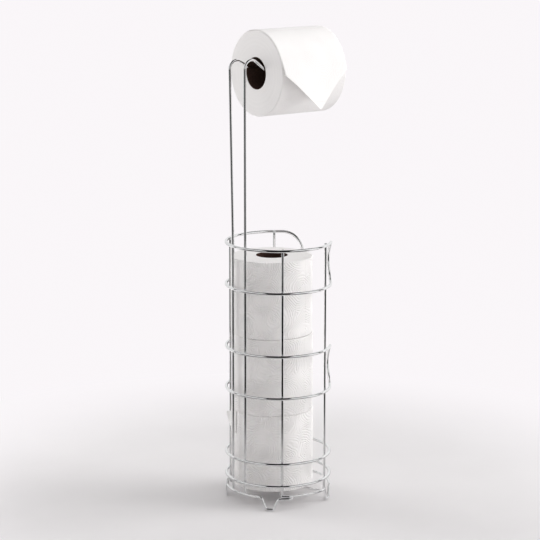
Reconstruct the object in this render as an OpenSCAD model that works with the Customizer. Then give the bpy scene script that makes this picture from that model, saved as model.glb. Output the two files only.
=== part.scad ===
// Free-standing toilet roll storage holder: a round wire basket holding a stack of
// rolls, with a tall hairpin arm that carries one more roll in use. Millimetres.
// Origin on the floor at the basket's axis, +Z up, the arm on the -Y side.
// Angles called phi are measured about Z from the arm towards +X.

/* [Wire] */
// Wire diameter of the hoops and loops
hoop_wire = 4; // [3:0.1:6]
// Wire diameter of the ribs, the arm and the base
rib_wire = 3.5; // [2.5:0.1:5]
// Depth that two crossing wires are fused by
weld = 0.25; // [0.1:0.05:0.5]

/* [Basket] */
// How far the hoops' centreline lies outside a roll stood on the axis
basket_room = 15.5; // [14:0.5:18]
// Height of the lower hoop's centreline
low_hoop_z = 34; // [28:1:45]
// Height of the upper of the two plain hoops
high_hoop_z = 65; // [50:1:90]
// Height of the middle loop's lower wire
middle_loop_z = 156; // [120:1:190]
// Height of the upper loop's lower wire
upper_loop_z = 299; // [250:1:310]
// Distance between a loop's lower and upper wires
loop_height = 57.5; // [40:0.5:70]
// Angle phi where a loop's round end on the +X side begins
loop_right_phi = 136; // [125:1:142]
// The same on the -X side, measured the other way
loop_left_phi = 132.4; // [125:0.1:142]

/* [Ribs] */
// Angle phi of the front rib on the +X side, and of the back ribs seen from the far side
rib_phi = 57.5; // [50:0.5:70]
// Angle of the front rib on the -X side, measured the other way
rib_left_phi = 51; // [46:0.5:70]
// How far a rib stands above the top wire's centreline
rib_above = 2.2; // [1:0.1:8]
// Height of the centre of a rib's bottom bend
rib_bend_z = 17; // [16.5:0.5:20]
// Bend radius at a rib's foot
rib_bend = 4; // [3:0.5:8]
// Half the level length where the ribs cross under the rolls
cross_half = 27; // [24:1:40]

/* [Base wire] */
// Height of the base wire's centreline between the feet
base_z = 18.2; // [15:0.1:20]
// Angle phi of the front foot on the +X side
right_foot_phi = 44; // [38:0.5:45]
// Angle of the front foot on the -X side, measured the other way
left_foot_phi = 37.5; // [30:0.5:45]
// Angle phi of the two feet on the far side
back_foot_phi = 127; // [115:1:135]
// Half the level length at the bottom of a foot
foot_flat_half = 3; // [2:0.5:5]
// Bend radius at the bottom of a foot
foot_bend = 3.5; // [3:0.5:5]
// Bend radius where a foot leaves the ring
shoulder_bend = 4; // [3:0.5:6]
// Slope of a foot's sides
foot_slope = 68; // [55:1:75]
// Angle phi where the base wire starts
lap_start_phi = 56; // [56:0.5:57.5]
// Angle phi where its other end stops, under the start
lap_stop_phi = 69.5; // [64:0.5:75]
// Angle phi to which the start stays raised
lap_level_phi = 80; // [76:1:84]
// Angle phi where the start has come down to the ring's height
lap_down_phi = 105; // [100:1:108]

/* [Arm] */
// Distance between the two legs in the basket
leg_gap = 27.2; // [22:0.2:32]
// Distance between the two legs at the top
leg_gap_top = 33; // [30:0.2:35]
// How far the legs lean outwards between the basket and the top
leg_lean = 2.5; // [0:0.1:3]
// Height of the legs' lower ends
leg_foot_z = 16.8; // [14:0.1:18]
// Height of the centreline at the top of the humps, halfway between the two
hump_z = 603.2; // [590:0.1:615]
// How much higher the hump on the +X side is than the other
hump_rise = 2.8; // [0:0.2:4]
// Bend radius of the humps
hump_bend = 11; // [8:0.5:14]
// How far the level stretch in the roll lies below the humps
arm_dip = 12.5; // [10:0.1:16]
// Bend radius where the wires level out at the roll
dip_bend = 4.5; // [3:0.5:6]
// Distance along the arm from the top of a hump to the roll's near face
hump_to_roll = 19.6; // [18:0.1:24]
// How far inside the roll the level stretch begins
level_inside = 3.5; // [0:0.5:6]
// Gap between the roll's far face and the closed end that stands up behind it
end_gap = 0.75; // [0.5:0.05:1.5]
// Bend radius where the wires turn up behind the roll
stop_bend = 3; // [2.5:0.5:5]
// How far the closed end's crossbar stands above the level stretch
stop_height = 14; // [10:1:20]
// Bend radius of the crossbar's corners
end_bend = 6; // [5:0.5:8]

/* [Rolls] */
// Height of a stored roll, and length of the one in use
roll_length = 105.5; // [100:0.5:108]
// Diameter of a stored roll
roll_diameter = 110; // [100:1:116]
// Diameter of the roll in use
hung_diameter = 114; // [105:1:118]
// Outer diameter of a cardboard core
core_outer = 42.5; // [42:0.5:46]
// Wall thickness of a cardboard core
core_wall = 0.75; // [0.5:0.05:0.75]
// Rounding of a roll's edges
roll_edge = 1.6; // [0.5:0.1:4]
// How far the stored rolls stand from the axis, from the bottom roll to the top one
low_shift = 6.9; // [0:0.1:9]
mid_shift = 7.5; // [0:0.1:9]
top_shift = 9; // [0:0.1:9.4]
// Angle phi towards which they are shifted
shift_phi = -36.5; // [-60:0.5:60]

/* [Loose sheets] */
// Thickness of the outermost sheet with its folded end
sheet_thick = 0.4; // [0.3:0.05:1]
// Angle from straight up where the sheet's modelled wrap begins
wrap_from_angle = -20; // [-60:1:0]
// Angle from straight up where the sheet leaves the roll
wrap_to_angle = 59; // [50:1:80]
// Straight run from there down to the fold
drop_length = 29; // [20:0.5:34]
// Slope of the folded point below the level
point_angle = 82; // [70:0.5:90]
// Length of the folded point
point_length = 49.3; // [40:0.1:54]
// Blunt width left at the point
point_tip = 2; // [1:0.5:5]
// How far the low roll's loose corner stands off its side
flap_out = 8.5; // [3:0.5:9]
// Height of the loose corner's attached edge
flap_height = 30; // [20:1:40]
// Angle about its roll, from the arm, of the loose corner's attached edge
flap_from_angle = -12.4; // [-20:0.1:-8]
// Width of the loose corner, as an angle about its roll
flap_angle = 28; // [12:1:32]
// How far the corner's tip lies below the top of its attached edge
flap_drop = 7; // [2:0.5:12]
// Blunt height left at the corner's tip
flap_tip = 2; // [1:0.5:4]

/* [Hidden] */
sweep_sides = 12;
bend_steps = 6;
ring_step = 6;
// Rounding of a cut wire end, as [distance from the end, width], both in wire radii
dome = [[0, 0.5], [0.15, 0.78], [0.5, 0.97], [0.8, 1]];
// Points around the sheet's wrap, and across the loose corner
wrap_steps = 20;
flap_steps = 6;
roll_r = roll_diameter / 2;
hoop_radius = roll_r + basket_room;
hoop_r = hoop_wire / 2;
rib_r = rib_wire / 2;
rib_radius = hoop_radius - hoop_r - rib_r + weld;
base_radius = rib_radius + 2 * rib_r - weld;
top_wire_z = upper_loop_z + loop_height;
rib_top_z = top_wire_z + rib_above;
leg_y = sqrt(pow(rib_radius, 2) - pow(leg_gap / 2, 2));
leg_top_y = leg_y + leg_lean;
sweep_flat = cos(180 / sweep_sides);
foot_z = rib_r * sweep_flat;
foot_depth = base_z - foot_z;
core_r = core_outer / 2;
bore_r = core_r - core_wall;
hung_r = hung_diameter / 2;
// Air left between a roll in use and its outermost sheet, and between its core and the arm
sheet_gap = 0.1;
rest_gap = 0.2;
hung_paper_r = hung_r - sheet_thick - sheet_gap;
low_cross_z = 16.4;
high_cross_z = low_cross_z + 2 * rib_r - weld;
stack_z = high_cross_z + rib_r;
// Slope from a hump down to the level stretch, and the wire's height where it enters the roll
hump_y = leg_top_y - hump_bend;
hung_start = hump_y - hump_to_roll;
slope_run = hump_to_roll + level_inside;
slope_bends = hump_bend + dip_bend;
function arm_slope(drop) = asin(slope_bends / norm([slope_run, slope_bends - drop]))
    - atan2(slope_bends - drop, slope_run);
function face_rise(s) = level_inside > dip_bend * sin(s)
    ? dip_bend * (1 - cos(s)) + (level_inside - dip_bend * sin(s)) * tan(s)
    : dip_bend - sqrt(pow(dip_bend, 2) - pow(level_inside, 2));
dip_z = hump_z - arm_dip;
steep = arm_slope(arm_dip + hump_rise / 2);
hung_z = dip_z + face_rise(steep)
    - sqrt(pow(bore_r - rib_r / cos(steep) - rest_gap, 2) - pow(leg_gap_top / 2, 2));
hung_mid_y = roll_length / 2 - hung_start;
arm_end_y = roll_length - hung_start + end_gap + rib_r;
$fn = 96;

CHROME = [0.86, 0.87, 0.88];
PAPER = [0.94, 0.94, 0.93];
CARD = [0.45, 0.33, 0.22];

// A point on a cylinder about Z
function at(phi, r, z) = [r * sin(phi), -r * cos(phi), z];
function unit(v) = v / norm(v);
function last(v) = v[len(v) - 1];
function mirrored(p) = [for (i = [len(p) - 1 : -1 : 0]) [-p[i][0], p[i][1], p[i][2]]];

// Corners of a round section at point p, between two unit vectors across the path
function ring_at(p, a, b, r) = [
    for (k = [0 : sweep_sides - 1])
        let (t = 360 * (k + 0.5) / sweep_sides) p + r * (cos(t) * a + sin(t) * b)
];

// Side faces between consecutive rings of corners, and the two flat ends
function side_faces(rings, closed) = [
    for (i = [0 : rings - (closed ? 1 : 2)], k = [0 : sweep_sides - 1], h = [0, 1])
        let (
            n = (i + 1) % rings, m = (k + 1) % sweep_sides,
            a = i * sweep_sides + k, b = i * sweep_sides + m,
            c = n * sweep_sides + m, d = n * sweep_sides + k
        ) h == 0 ? [a, b, c] : [a, c, d]
];
function end_faces(rings) = [
    [for (k = [sweep_sides - 1 : -1 : 0]) k],
    [for (k = [0 : sweep_sides - 1]) (rings - 1) * sweep_sides + k]
];

// Direction of a path at point i
function along(p, i, closed) =
    let (n = len(p))
    closed ? unit(p[(i + 1) % n] - p[(i + n - 1) % n])
    : unit(p[min(i + 1, n - 1)] - p[max(i - 1, 0)]);

// A round wire whose path lies on a cylinder about Z
module wire_on_cylinder(p, r, closed) {
    n = len(p);
    rings = [
        for (i = [0 : n - 1])
            let (out = unit([p[i][0], p[i][1], 0]), t = along(p, i, closed))
            ring_at(p[i], out, unit(cross(t, out)), r)
    ];
    polyhedron(
        points = [for (g = rings) each g],
        faces = concat(side_faces(n, closed), closed ? [] : end_faces(n)),
        convexity = 8
    );
}

// Unit vectors across a free path, carried along it without twist
function carried(p, first) = [
    for (
        i = 0, a = unit(first - (first * along(p, 0, false)) * along(p, 0, false));
        i < len(p);
        i = i + 1,
        a = i < len(p) ? unit(a - (a * along(p, i, false)) * along(p, i, false)) : a
    ) a
];
module free_wire(p, r, first, sizes = []) {
    n = len(p);
    a = carried(p, first);
    rings = [
        for (i = [0 : n - 1])
            ring_at(p[i], a[i], cross(along(p, i, false), a[i]), r * (sizes == [] ? 1 : sizes[i]))
    ];
    polyhedron(
        points = [for (g = rings) each g],
        faces = concat(side_faces(n, false), end_faces(n)),
        convexity = 8
    );
}

// Loop bent round the basket, its two round ends facing each other across a gap
function loop_path(z) =
    let (
        r = hoop_radius, rise = loop_height / 2,
        swing = function (a) rise * sin(a) / r * 180 / PI,
        span = loop_left_phi + loop_right_phi,
        flat_n = round(span / ring_step),
        end_n = 2 * bend_steps + 2
    ) concat(
        [for (i = [0 : flat_n - 1]) at(-loop_left_phi + span * i / flat_n, r, z)],
        [for (i = [0 : end_n - 1]) let (a = 180 * i / end_n)
            at(loop_right_phi + swing(a), r, z + rise * (1 - cos(a)))],
        [for (i = [0 : flat_n - 1])
            at(loop_right_phi - span * i / flat_n, r, z + loop_height)],
        [for (i = [0 : end_n - 1]) let (a = 180 * i / end_n)
            at(-loop_left_phi - swing(a), r, z + rise * (1 + cos(a)))]
    );

// Half of a foot as [distance from its middle, height above its bottom]
function foot_half(depth) =
    let (
        s = foot_slope, turn = 1 - cos(s),
        run = (depth - (foot_bend + shoulder_bend) * turn) / tan(s),
        reach = foot_flat_half + (foot_bend + shoulder_bend) * sin(s) + run
    ) concat(
        [[foot_flat_half * 0.6, 0]],
        [for (i = [0 : bend_steps - 2]) let (a = s * i / (bend_steps - 2))
            [foot_flat_half + foot_bend * sin(a), foot_bend * (1 - cos(a))]],
        [for (i = [bend_steps - 2 : -1 : 0]) let (a = s * i / (bend_steps - 2))
            [reach - shoulder_bend * sin(a), depth - shoulder_bend * (1 - cos(a))]]
    );
function foot_reach(depth) = last(foot_half(depth))[0] / base_radius * 180 / PI;
function foot_path(phi, depth_in, depth_out) =
    let (a = foot_half(depth_in), b = foot_half(depth_out), k = 180 / PI / base_radius)
    concat(
        [for (i = [len(a) - 1 : -1 : 0]) at(phi - a[i][0] * k, base_radius, foot_z + a[i][1])],
        [for (q = b) at(phi + q[0] * k, base_radius, foot_z + q[1])]
    );
function arc_path(from, to, z) =
    let (n = max(2, ceil((to - from) / ring_step)))
    [for (i = [1 : n - 1]) at(from + (to - from) * i / n, base_radius, z)];
// Height of the raised start at phi, eased down to the ring
function start_z(phi) =
    let (t = (phi - lap_level_phi) / (lap_down_phi - lap_level_phi))
    base_z + rib_r * (1 + cos(180 * min(1, max(0, t)))) / 2;
function base_path() =
    let (
        f = right_foot_phi, g = left_foot_phi, b = back_foot_phi, turn = 360,
        w = foot_reach(foot_depth), w_lap = foot_reach(foot_depth - rib_r),
        first_n = ceil((b - w - lap_start_phi) / ring_step)
    ) concat(
        [for (i = [0 : first_n - 1])
            let (phi = lap_start_phi + (b - w - lap_start_phi) * i / first_n)
            at(phi, base_radius, start_z(phi))],
        foot_path(b, foot_depth, foot_depth),
        arc_path(b + w, turn - b - w, base_z),
        foot_path(turn - b, foot_depth, foot_depth),
        arc_path(turn - b + w, turn - g - w, base_z),
        foot_path(turn - g, foot_depth, foot_depth),
        arc_path(turn - g + w, turn + f - w, base_z),
        foot_path(turn + f, foot_depth, foot_depth - rib_r),
        arc_path(turn + f + w_lap, turn + lap_stop_phi, base_z - rib_r),
        [at(turn + lap_stop_phi, base_radius, base_z - rib_r)]
    );

// Half of a rib in the XZ plane: an upright at x = half, and the way across the bottom
function rib_side(half, cross_z) =
    let (
        mid_x = half - rib_bend,
        run = mid_x - cross_half, rise = cross_z - rib_bend_z,
        // Slope from the foot's bend up to the level stretch
        slope = atan2(rise, run) + asin(rib_bend / norm([run, rise]))
    ) concat(
        [for (e = dome) [half, 0, rib_top_z - e[0] * rib_r]],
        [for (i = [0 : bend_steps]) let (a = (90 + slope) * i / bend_steps)
            [mid_x + rib_bend * cos(a), 0, rib_bend_z - rib_bend * sin(a)]],
        [[cross_half, 0, cross_z]]
    );
// A rib with its uprights at two angles phi
module rib(from, to, cross_z) {
    mid = (from + to) / 2;
    side = rib_side(rib_radius * sin((to - from) / 2), cross_z);
    sizes = concat([for (e = dome) e[1]], [for (i = [len(dome) : len(side) - 1]) 1]);
    translate(at(mid, rib_radius * cos((to - from) / 2), 0)) rotate([0, 0, mid]) free_wire(
        concat(side, mirrored(side)), rib_r, [0, 1, 0],
        concat(sizes, [for (i = [len(sizes) - 1 : -1 : 0]) sizes[i]])
    );
}

module hoop(z) {
    translate([0, 0, z]) rotate_extrude() translate([hoop_radius, 0]) circle(r = hoop_r);
}

// The arm's centreline on one side, from the leg's foot to its crossbar's corner
function bend_yz(c, r, from, to, n) = [
    for (i = [0 : n]) let (a = from + (to - from) * i / n) [c[0] + r * cos(a), c[1] + r * sin(a)]
];
function arm_side(rise) =
    let (
        s = arm_slope(arm_dip + rise), half = leg_gap_top / 2,
        lean_from = top_wire_z + 2 * hoop_r,
        yz = concat(
            bend_yz([-hump_y, hump_z + rise - hump_bend], hump_bend, 180, 90 - s, 2 * bend_steps),
            bend_yz([level_inside - hung_start, dip_z + dip_bend], dip_bend, -90 - s, -90,
                bend_steps / 2),
            bend_yz([arm_end_y - stop_bend, dip_z + stop_bend], stop_bend, -90, 0, bend_steps)
        ),
        corner = [half, arm_end_y, dip_z + stop_height]
    ) concat(
        [[leg_gap / 2, -leg_y, leg_foot_z], [leg_gap / 2, -leg_y, lean_from]],
        [for (q = yz) [half, q[0], q[1]]],
        [for (i = [0 : bend_steps]) let (a = 90 * i / bend_steps)
            corner - end_bend * [1 - cos(a), 0, 1 - sin(a)]]
    );

// Rolls: paper with eased edges, and the core inside it
module paper(r, length) {
    rotate_extrude() polygon([
        [core_r, 0], [r - roll_edge, 0], [r - roll_edge * 0.4, roll_edge * 0.3],
        [r, roll_edge], [r, length - roll_edge],
        [r - roll_edge * 0.4, length - roll_edge * 0.3], [r - roll_edge, length],
        [core_r, length]
    ]);
}
module core(length) {
    rotate_extrude() translate([bore_r, 0]) square([core_wall, length]);
}
module stored(index, shift) {
    translate(at(shift_phi, shift, stack_z + index * roll_length)) children();
}
module hung() {
    translate([0, -hung_start, hung_z]) rotate([-90, 0, 0]) children();
}

module arm_wire() {
    right = arm_side(hump_rise / 2);
    left = arm_side(-hump_rise / 2);
    color(CHROME) free_wire(concat(right, mirrored(left)), rib_r, [0, -1, 0]);
}
module upper_loop() { color(CHROME) wire_on_cylinder(loop_path(upper_loop_z), hoop_r, true); }
module middle_loop() { color(CHROME) wire_on_cylinder(loop_path(middle_loop_z), hoop_r, true); }
module high_hoop() { color(CHROME) hoop(high_hoop_z); }
module low_hoop() { color(CHROME) hoop(low_hoop_z); }
module base_wire() { color(CHROME) wire_on_cylinder(base_path(), rib_r, false); }
module rib_left_front() { color(CHROME) rib(-rib_left_phi, 180 - rib_phi, low_cross_z); }
module rib_right_front() { color(CHROME) rib(rib_phi, 180 + rib_phi, high_cross_z); }

module low_roll_paper() { color(PAPER) stored(0, low_shift) paper(roll_r, roll_length); }
module low_roll_core() { color(CARD) stored(0, low_shift) core(roll_length); }
module mid_roll_paper() { color(PAPER) stored(1, mid_shift) paper(roll_r, roll_length); }
module mid_roll_core() { color(CARD) stored(1, mid_shift) core(roll_length); }
module top_roll_paper() { color(PAPER) stored(2, top_shift) paper(roll_r, roll_length); }
module top_roll_core() { color(CARD) stored(2, top_shift) core(roll_length); }
module hung_roll_paper() { color(PAPER) hung() paper(hung_paper_r, roll_length); }
module hung_roll_core() { color(CARD) hung() core(roll_length); }

// Loose corner of the low roll's outer sheet, standing off its side like a leaf
module low_roll_flap() {
    z_top = roll_length - roll_edge;
    inner = roll_r - sheet_thick / 2;
    rows = [
        for (i = [0 : flap_steps])
            let (
                t = i / flap_steps, phi = flap_from_angle - flap_angle * t,
                r = inner + flap_out * pow(t, 2),
                low = z_top - flap_height + (flap_height - flap_drop - flap_tip) * pow(t, 3),
                high = z_top - flap_drop * pow(t, 2)
            ) [
                at(phi, r, low), at(phi, r + sheet_thick, low),
                at(phi, r + sheet_thick, high), at(phi, r, high)
            ]
    ];
    end = 4 * flap_steps;
    color(PAPER) stored(0, low_shift) polyhedron(
        points = [for (row = rows) each row],
        faces = concat(
            [for (i = [0 : flap_steps - 1], k = [0 : 3], h = [0, 1])
                let (a = 4 * i + k, b = 4 * i + (k + 1) % 4)
                h == 0 ? [a, b, b + 4] : [a, b + 4, a + 4]],
            [[3, 2, 1, 0], [end, end + 1, end + 2, end + 3]]
        )
    );
}

// Outermost sheet of the roll in use: wrapped over the top, then hanging to a folded point
module hung_roll_sheet() {
    half = roll_length / 2;
    // Directions down the sheet, outwards from it, and its outer side's corners in XZ
    down = function (a) [cos(a), -sin(a)];
    out = function (a) [sin(a), cos(a)];
    wrap = [
        for (i = [0 : wrap_steps]) out(wrap_from_angle + (wrap_to_angle - wrap_from_angle) * i / wrap_steps)
    ];
    fold = hung_r * last(wrap) + drop_length * down(wrap_to_angle);
    tip = fold + point_length * down(point_angle);
    miter = (out(wrap_to_angle) + out(point_angle)) / (1 + out(wrap_to_angle) * out(point_angle));
    inner_r = hung_r - sheet_thick;
    color(PAPER) translate([0, hung_mid_y, hung_z]) intersection() {
        rotate([90, 0, 0]) linear_extrude(roll_length, center = true) polygon(concat(
            [for (q = wrap) hung_r * q],
            [fold, tip, tip - sheet_thick * out(point_angle), fold - sheet_thick * miter],
            [for (i = [wrap_steps : -1 : 0]) inner_r * wrap[i]]
        ));
        rotate([90, 0, 90]) linear_extrude(2 * hung_r + point_length, center = true) polygon([
            [-half, 2 * hung_r], [half, 2 * hung_r], [half, fold[1]],
            [point_tip / 2, tip[1]], [-point_tip / 2, tip[1]], [-half, fold[1]]
        ]);
    }
}

arm_wire();
upper_loop();
middle_loop();
high_hoop();
low_hoop();
base_wire();
rib_left_front();
rib_right_front();
low_roll_paper();
low_roll_core();
low_roll_flap();
mid_roll_paper();
mid_roll_core();
top_roll_paper();
top_roll_core();
hung_roll_paper();
hung_roll_core();
hung_roll_sheet();
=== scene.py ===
import math

import bpy
import numpy as np
from mathutils import Matrix, Vector, noise


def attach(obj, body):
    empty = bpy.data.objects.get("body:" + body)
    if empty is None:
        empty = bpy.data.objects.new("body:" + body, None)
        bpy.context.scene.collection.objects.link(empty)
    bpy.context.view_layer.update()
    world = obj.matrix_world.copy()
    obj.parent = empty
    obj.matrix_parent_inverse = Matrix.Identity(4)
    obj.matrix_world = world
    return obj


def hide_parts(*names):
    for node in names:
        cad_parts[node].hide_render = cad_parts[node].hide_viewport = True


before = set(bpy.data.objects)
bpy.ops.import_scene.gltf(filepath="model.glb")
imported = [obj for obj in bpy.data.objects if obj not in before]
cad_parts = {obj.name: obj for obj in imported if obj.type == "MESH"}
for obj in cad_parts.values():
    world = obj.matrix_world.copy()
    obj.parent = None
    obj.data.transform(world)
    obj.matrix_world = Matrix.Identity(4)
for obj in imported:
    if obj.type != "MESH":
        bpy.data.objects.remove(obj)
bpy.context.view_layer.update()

# Sizes in millimetres, as the CAD has them. Meshes are scaled to metres as they are made.
# Angles called phi are in degrees about Z, from the arm towards +X.
MM = 0.001
HOOP_R, RIB_R, WELD = 2.0, 1.75, 0.25
ROLL_LENGTH, ROLL_R, HUNG_R, BASKET_ROOM = 105.5, 55.0, 57.0, 15.5
HOOP_RADIUS = ROLL_R + BASKET_ROOM
RIB_RADIUS = HOOP_RADIUS - HOOP_R - RIB_R + WELD
BASE_RADIUS = RIB_RADIUS + 2 * RIB_R - WELD
LOW_HOOP_Z, HIGH_HOOP_Z, MIDDLE_LOOP_Z, UPPER_LOOP_Z = 34.0, 65.0, 156.0, 299.0
LOOP_HEIGHT, LOOP_END_RIGHT, LOOP_END_LEFT = 57.5, 136.0, 132.4
TOP_WIRE_Z = UPPER_LOOP_Z + LOOP_HEIGHT
RIB_PHI, RIB_LEFT_PHI, RIB_ABOVE = 57.5, 51.0, 2.2
RIB_TOP_Z = TOP_WIRE_Z + RIB_ABOVE
RIB_BEND_Z, RIB_BEND, CROSS_HALF, LOW_CROSS_Z = 17.0, 4.0, 27.0, 16.4
HIGH_CROSS_Z = LOW_CROSS_Z + 2 * RIB_R - WELD
STACK_Z = HIGH_CROSS_Z + RIB_R
BASE_Z, RIGHT_FOOT_PHI, LEFT_FOOT_PHI, BACK_FOOT_PHI = 18.2, 44.0, 37.5, 127.0
FOOT_FLAT_HALF, FOOT_BEND, SHOULDER_BEND, FOOT_SLOPE = 3.0, 3.5, 4.0, 68.0
LAP_START_PHI, LAP_STOP_PHI, LAP_LEVEL_PHI, LAP_DOWN_PHI = 56.0, 69.5, 80.0, 105.0
FOOT_Z = RIB_R
LEG_GAP, LEG_GAP_TOP, LEG_LEAN, LEG_FOOT_Z = 27.2, 33.0, 2.5, 16.8
HUMP_Z, HUMP_RISE, HUMP_BEND, ARM_DIP, DIP_BEND = 603.2, 2.8, 11.0, 12.5, 4.5
HUMP_TO_ROLL, LEVEL_INSIDE, END_GAP = 19.6, 3.5, 0.75
STOP_BEND, STOP_HEIGHT, END_BEND = 3.0, 14.0, 6.0
CORE_R, CORE_WALL, REST_GAP = 21.25, 0.75, 0.2
SHIFT_PHI, SHIFTS = -36.5, (6.9, 7.5, 9.0)
SHEET_THICK, SHEET_GAP = 0.4, 0.1
WRAP_FROM, WRAP_TO, DROP_LENGTH, POINT_LENGTH = -20.0, 59.0, 29.0, 49.3
FLAP_OUT, FLAP_HEIGHT, FLAP_FROM, FLAP_ANGLE, FLAP_DROP, FLAP_TIP = 8.5, 30.0, -12.4, 28.0, 7.0, 2.0

HUNG_PAPER_R = HUNG_R - SHEET_THICK - SHEET_GAP
LEG_Y = math.sqrt(RIB_RADIUS**2 - (LEG_GAP / 2) ** 2)
HUMP_Y = LEG_Y + LEG_LEAN - HUMP_BEND
HUNG_START = HUMP_Y - HUMP_TO_ROLL
DIP_Z = HUMP_Z - ARM_DIP


def arm_slope(rise):
    """Slope of the wire from a hump that stands rise above the mean, down to the level stretch."""
    run, bends = HUMP_TO_ROLL + LEVEL_INSIDE, HUMP_BEND + DIP_BEND
    rest = bends - ARM_DIP - rise
    return math.asin(bends / math.hypot(run, rest)) - math.atan2(rest, run)


STEEP = arm_slope(HUMP_RISE / 2)
# The wire's height over its level stretch where it enters the roll
FACE_RISE = (DIP_BEND * (1 - math.cos(STEEP))
             + (LEVEL_INSIDE - DIP_BEND * math.sin(STEEP)) * math.tan(STEEP))
HUNG_Z = DIP_Z + FACE_RISE - math.sqrt(
    (CORE_R - CORE_WALL - RIB_R / math.cos(STEEP) - REST_GAP) ** 2 - (LEG_GAP_TOP / 2) ** 2)
HUNG_MID_Y = ROLL_LENGTH / 2 - HUNG_START
ARM_END_Y = ROLL_LENGTH - HUNG_START + END_GAP + RIB_R

# The camera, fitted to the photograph. The fit holds the focal length at 2000 of the image's 540 pixels
CAMERA_AZIMUTH, CAMERA_PITCH, CAMERA_YAW, CAMERA_ROLL = 52.553, 11.903, -0.245, 0.083
CAMERA_DISTANCE, CAMERA_HEIGHT, CAMERA_SENSOR = 2.6383, 0.8730, 36.0
CAMERA_FOCAL = 2000 * CAMERA_SENSOR / 540


def at(phi, r, z):
    """A point on a cylinder about Z."""
    a = math.radians(phi)
    return [r * math.sin(a), -r * math.cos(a), z]


# Node helpers
class Nodes:
    """A material or world whose nodes are made one line each."""

    def __init__(self, owner):
        owner.use_nodes = True
        self.owner, self.tree = owner, owner.node_tree
        self.tree.nodes.clear()

    def add(self, kind, inputs=(), **settings):
        node = self.tree.nodes.new("ShaderNode" + kind)
        for key, value in settings.items():
            setattr(node, key, value)
        for key, value in dict(inputs).items():
            if isinstance(value, bpy.types.NodeSocket):
                self.tree.links.new(value, node.inputs[key])
            else:
                node.inputs[key].default_value = value
        return node

    def math(self, operation, a, b=0.0, c=0.0):
        return self.add("Math", {0: a, 1: b, 2: c}, operation=operation).outputs[0]

    def ramp(self, factor, stops):
        node = self.add("ValToRGB", {0: factor})
        ends = node.color_ramp.elements
        while len(ends) < len(stops):
            ends.new(0.5)
        for end, (position, colour) in zip(ends, stops):
            end.position, end.color = position, (*colour, 1)
        return node.outputs[0]

    def mix(self, factor, a, b):
        return self.add("Mix", {"Factor": factor, "A": a, "B": (*b, 1)}, data_type="RGBA").outputs["Result"]

    def parts(self, vector):
        return tuple(self.add("SeparateXYZ", {0: vector}).outputs)

    def from_axis(self, place):
        """How far a place lies from the Z axis."""
        x, y, _ = self.parts(place)
        return self.math("SQRT", self.math("ADD", self.math("MULTIPLY", x, x), self.math("MULTIPLY", y, y)))

    def bump(self, height, distance, strength, normal=None):
        inputs = {"Height": height, "Distance": distance, "Strength": strength}
        if normal is not None:
            inputs["Normal"] = normal
        return self.add("Bump", inputs).outputs[0]

    def noise(self, vector, scale, detail):
        return self.add("TexNoise", {"Vector": vector, "Scale": scale, "Detail": detail}).outputs[0]

    def line_noise(self, value, scale, detail):
        """Noise that changes along one value only."""
        inputs = {"W": self.math("MULTIPLY", value, scale), "Scale": 1.0, "Detail": detail}
        return self.add("TexNoise", inputs, noise_dimensions="1D").outputs[0]

    def done(self, shader):
        kind = "OutputWorld" if isinstance(self.owner, bpy.types.World) else "OutputMaterial"
        self.add(kind, {"Surface": shader})
        return self.owner


def chrome_material():
    n = Nodes(bpy.data.materials.new("chrome_plate"))
    place = n.add("TexCoord").outputs["Object"]
    # Plating ripple, fine drawing marks and a thin film of dust and water marks
    ripple = n.noise(place, 900.0, 2.0)
    marks = n.noise(place, 5200.0, 3.0)
    film = n.noise(place, 140.0, 4.0)
    tint = n.ramp(film, [(0.30, (0.84, 0.845, 0.85)), (0.62, (0.93, 0.93, 0.935))])
    rough = n.add("MapRange", {"Value": film, "From Min": 0.35, "From Max": 0.75,
                               "To Min": 0.015, "To Max": 0.05})
    normal = n.bump(ripple, 0.00002, 0.12, n.bump(marks, 0.00001, 0.06))
    return n.done(n.add("BsdfPrincipled", {
        "Base Color": tint, "Metallic": 1.0, "Roughness": rough.outputs[0], "Normal": normal,
    }).outputs[0])


# The tissue's pressed pattern, in millimetres: its cells, the distance between arcs and how far they wander
CELL, ARC_PITCH, WANDER = 46.0, 3.0, 24.0
# Rows of short cuts across the sheet: from row to row, where a row is, and a cut's pitch, gap and half width
ROW_PITCH, ROW_AT, CUT_PITCH, CUT_GAP, CUT_HALF = 112.0, 31.0, 2.4, 0.7, 0.35


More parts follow.
